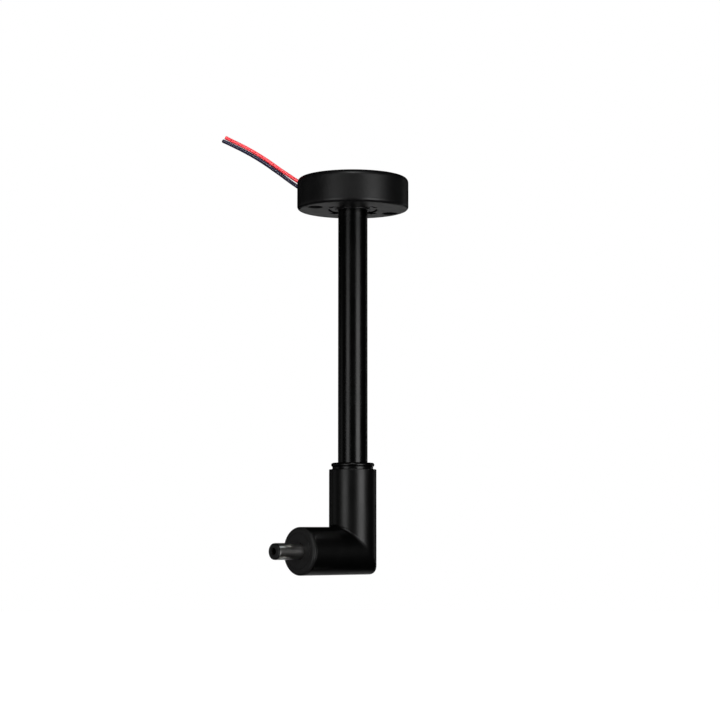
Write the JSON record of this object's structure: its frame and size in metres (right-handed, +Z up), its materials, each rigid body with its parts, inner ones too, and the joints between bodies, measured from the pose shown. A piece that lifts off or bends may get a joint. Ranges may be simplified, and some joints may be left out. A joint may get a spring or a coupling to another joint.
{
  "type": "ceiling drop stem with swivel plug",
  "caption": "Ceiling-mount drop stem: round base, straight tube and a swivelling right-angle elbow that ends in a round DC power plug.",
  "frame": {"origin": "centre of the base's flat face that meets the ceiling", "axes": "+Z up into the ceiling, along the tube; the elbow's arm points along -X at rest"},
  "size_m": [0.0535, 0.0632, 0.1534],
  "materials": {
    "base_plastic": "satin black moulded plastic, fine grain",
    "inner_plastic": "plain black moulded plastic",
    "screw_steel": "zinc-plated steel",
    "ring_black": "black-coated turned metal",
    "nickel": "nickel-plated brass, slightly dulled",
    "tube_black": "satin black powder coat",
    "lead_red": "red PVC insulation",
    "lead_dark": "blue-black PVC insulation",
    "brass_ring": "turned brass",
    "elbow_black": "satin black powder coat",
    "collar_black": "satin black turned metal",
    "nylon": "natural nylon",
    "cap_black": "satin black moulded plastic",
    "plug_plastic": "black moulded insulator",
    "contact_brass": "plated contact brass",
    "shrink_red": "red heat-shrink tube",
    "shrink_black": "black heat-shrink tube"
  },
  "bodies": {
    "stem": {"base_housing": "base_plastic", "back_plate": "inner_plastic", "back_plate_screws": "screw_steel", "flange_ring": "ring_black", "seal_ring": "nickel", "lock_washer": "screw_steel", "lock_nut": "screw_steel", "stem_tube": "tube_black", "tube_bush": "inner_plastic", "lead_clamp": "inner_plastic", "clamp_screws": "screw_steel", "inner_red_lead": "lead_red", "inner_black_lead": "lead_dark", "red_lead": "lead_red", "black_lead": "lead_dark", "lead_guide": "inner_plastic", "swivel_flange": "brass_ring", "flange_pin": "screw_steel"},
    "elbow": {"elbow_housing": "elbow_black", "gland_collar": "collar_black", "upper_thrust_washer": "nylon", "lower_thrust_washer": "nylon", "wave_washer": "screw_steel", "stop_pin": "screw_steel", "end_cap": "cap_black", "plug_sleeve": "nickel", "plug_tip": "plug_plastic", "plug_pin_socket": "contact_brass", "plug_nut": "screw_steel", "sleeve_tag": "contact_brass", "arm_red_lead": "lead_red", "arm_black_lead": "lead_dark", "red_heat_shrink": "shrink_red", "black_heat_shrink": "shrink_black"}
  },
  "joints": [
    {"name": "elbow_swivel", "type": "hinge", "parent": "stem", "child": "elbow", "pos_m": [0, 0, -0.1268], "axis": [0, 0, 1], "range_deg": [-160, 160]}
  ]
}
